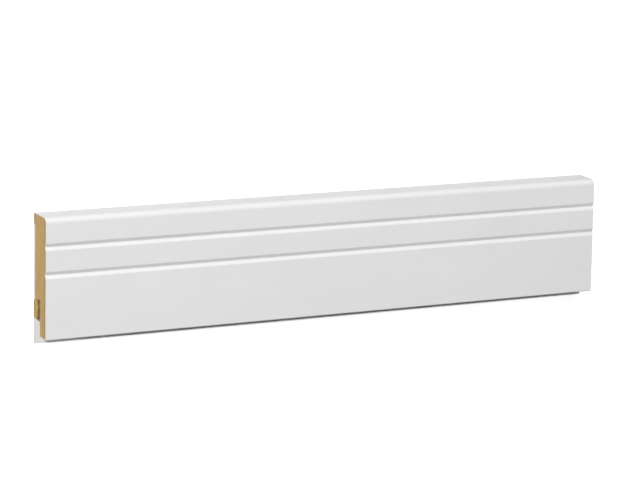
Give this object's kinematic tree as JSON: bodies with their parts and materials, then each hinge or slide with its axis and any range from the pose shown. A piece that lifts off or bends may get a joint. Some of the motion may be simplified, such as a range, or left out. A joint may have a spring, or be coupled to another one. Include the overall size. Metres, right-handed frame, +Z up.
{
  "type": "skirting board length",
  "caption": "White foil-covered MDF skirting board length with a rounded top edge, grooved face and clip slot in the back.",
  "frame": {"origin": "centre of the board's box, on the floor it lies on", "axes": "+X along the length, +Y across the board towards its rounded top edge, +Z up, out of the grooved face"},
  "size_m": [0.42, 0.08, 0.018],
  "materials": {
    "raw_mdf": "raw fibreboard, milled and sawn",
    "white_covering": "smooth satin white foil"
  },
  "bodies": {
    "root": {"mdf_core": "raw_mdf", "white_foil": "white_covering"}
  },
  "joints": []
}
